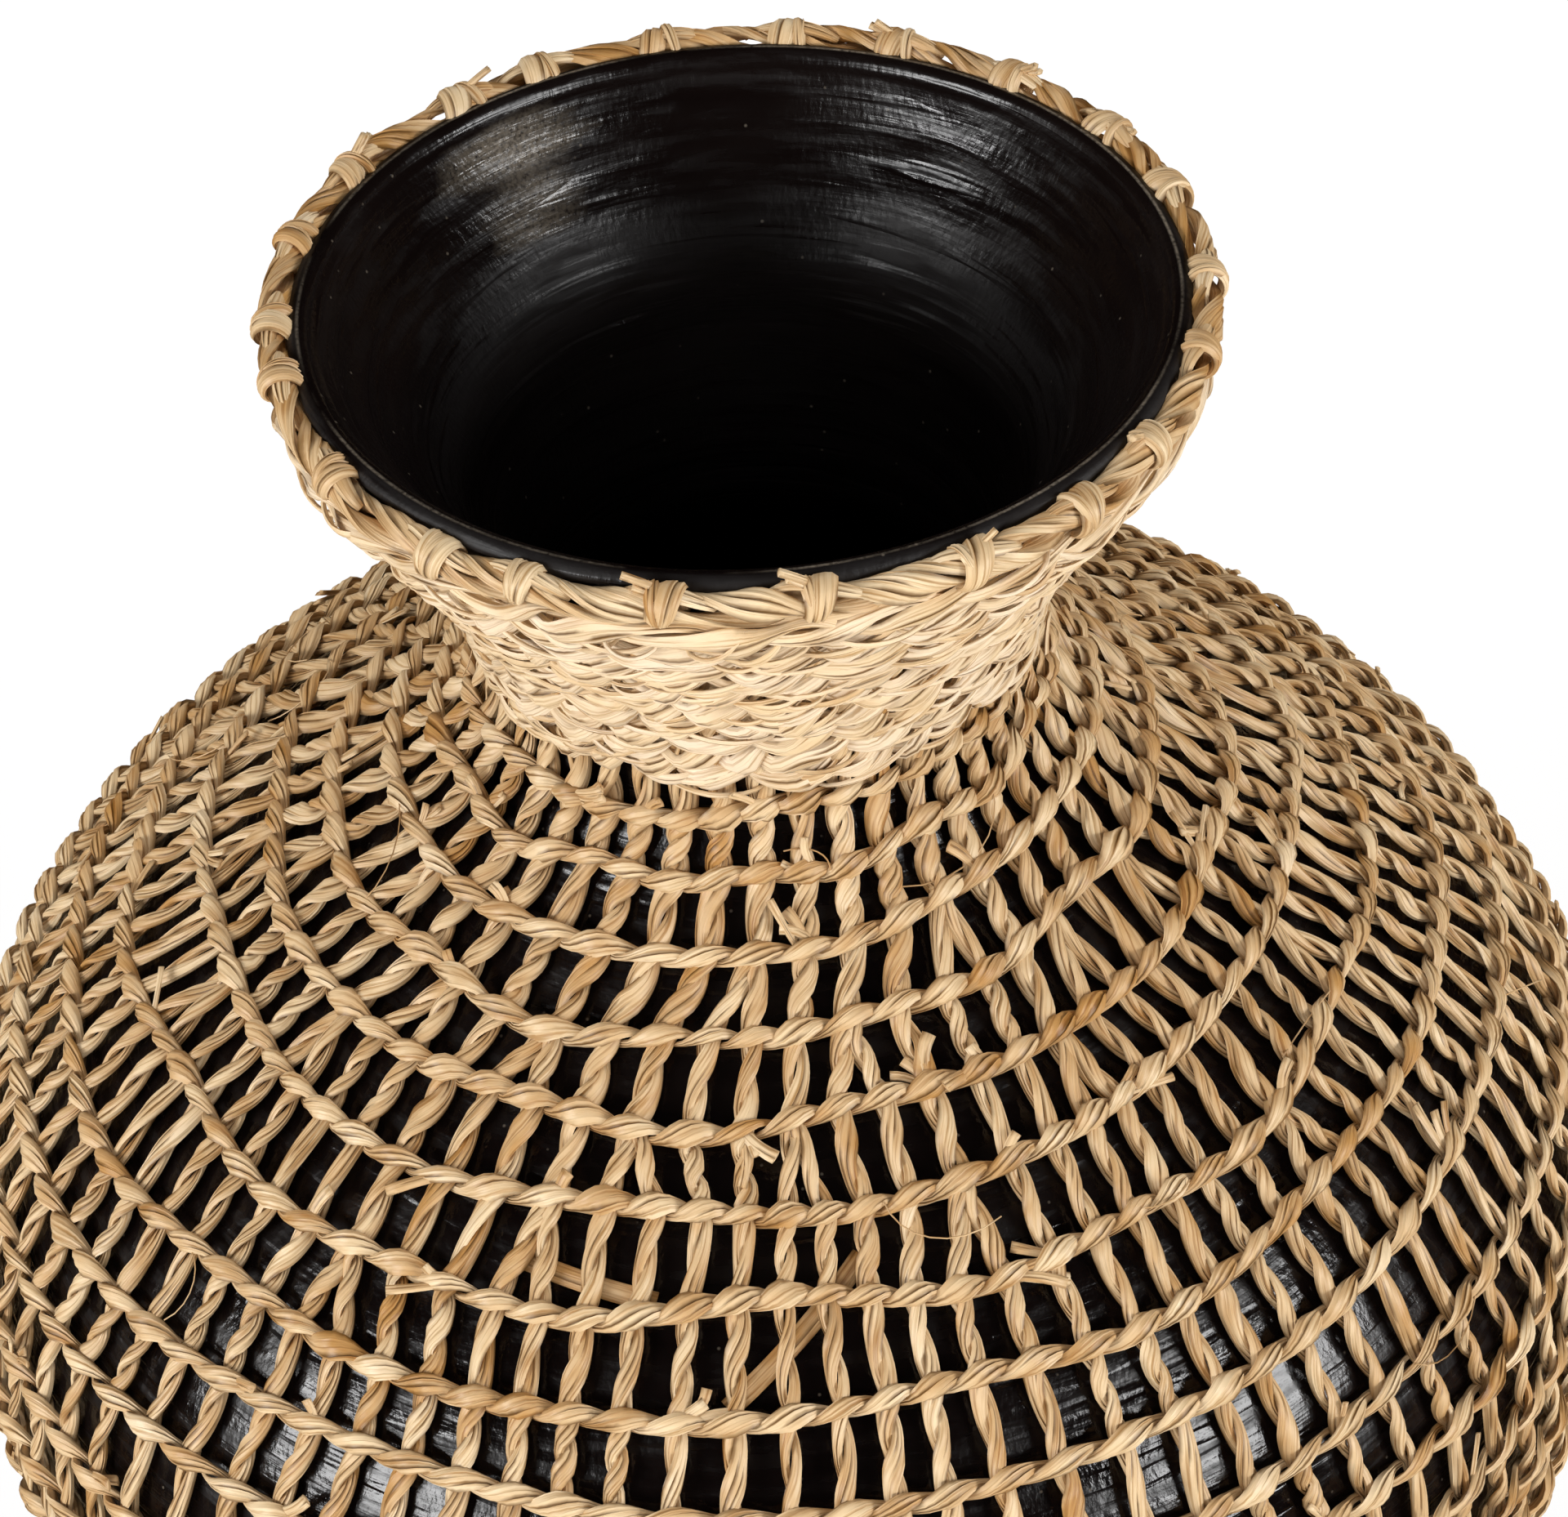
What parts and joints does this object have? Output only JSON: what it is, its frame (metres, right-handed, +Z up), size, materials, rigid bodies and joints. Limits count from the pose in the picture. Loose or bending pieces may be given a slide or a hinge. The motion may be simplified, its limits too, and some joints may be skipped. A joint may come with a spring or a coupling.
{
  "type": "clay pot in a woven seagrass jacket",
  "caption": "Round black clay pot with a narrow neck and a flared mouth, wrapped in a jacket of twisted seagrass cord: a roped rim, a packed collar and an open net.",
  "frame": {"origin": "middle of the pot's flat foot, on the surface that it stands on", "axes": "+Z up along the pot's turning axis; -Y is the side that the picture sees"},
  "size_m": [0.3045, 0.3048, 0.335],
  "materials": {
    "clay": "satin",
    "rope": "matte",
    "collar": "matte",
    "ring": "matte",
    "stake": "matte"
  },
  "bodies": {
    "root": {"clay_pot": "clay", "rim_rope": "rope", "collar_row_01": "collar", "collar_row_02": "collar", "collar_row_03": "collar", "collar_row_04": "collar", "collar_row_05": "collar", "collar_row_06": "collar", "collar_row_07": "collar", "collar_row_08": "collar", "collar_row_09": "collar", "collar_row_10": "collar", "collar_row_11": "collar", "collar_row_12": "collar", "net_ring_01": "ring", "net_ring_02": "ring", "net_ring_03": "ring", "net_ring_04": "ring", "net_ring_05": "ring", "net_ring_06": "ring", "net_ring_07": "ring", "net_ring_08": "ring", "net_ring_09": "ring", "net_ring_10": "ring", "net_ring_11": "ring", "net_ring_12": "ring", "net_ring_13": "ring", "net_ring_14": "ring", "net_ring_15": "ring", "net_ring_16": "ring", "net_ring_17": "ring", "net_ring_18": "ring", "net_ring_19": "ring", "net_ring_20": "ring", "net_ring_21": "ring", "net_ring_22": "ring", "stake_pair_01": "stake", "stake_pair_02": "stake", "stake_pair_03": "stake", "stake_pair_04": "stake", "stake_pair_05": "stake", "stake_pair_06": "stake", "stake_pair_07": "stake", "stake_pair_08": "stake", "stake_pair_09": "stake", "stake_pair_10": "stake", "stake_pair_11": "stake", "stake_pair_12": "stake", "stake_pair_13": "stake", "stake_pair_14": "stake", "stake_pair_15": "stake", "stake_pair_16": "stake", "stake_pair_17": "stake", "stake_pair_18": "stake", "stake_pair_19": "stake", "stake_pair_20": "stake", "stake_pair_21": "stake", "stake_pair_22": "stake"}
  },
  "joints": []
}
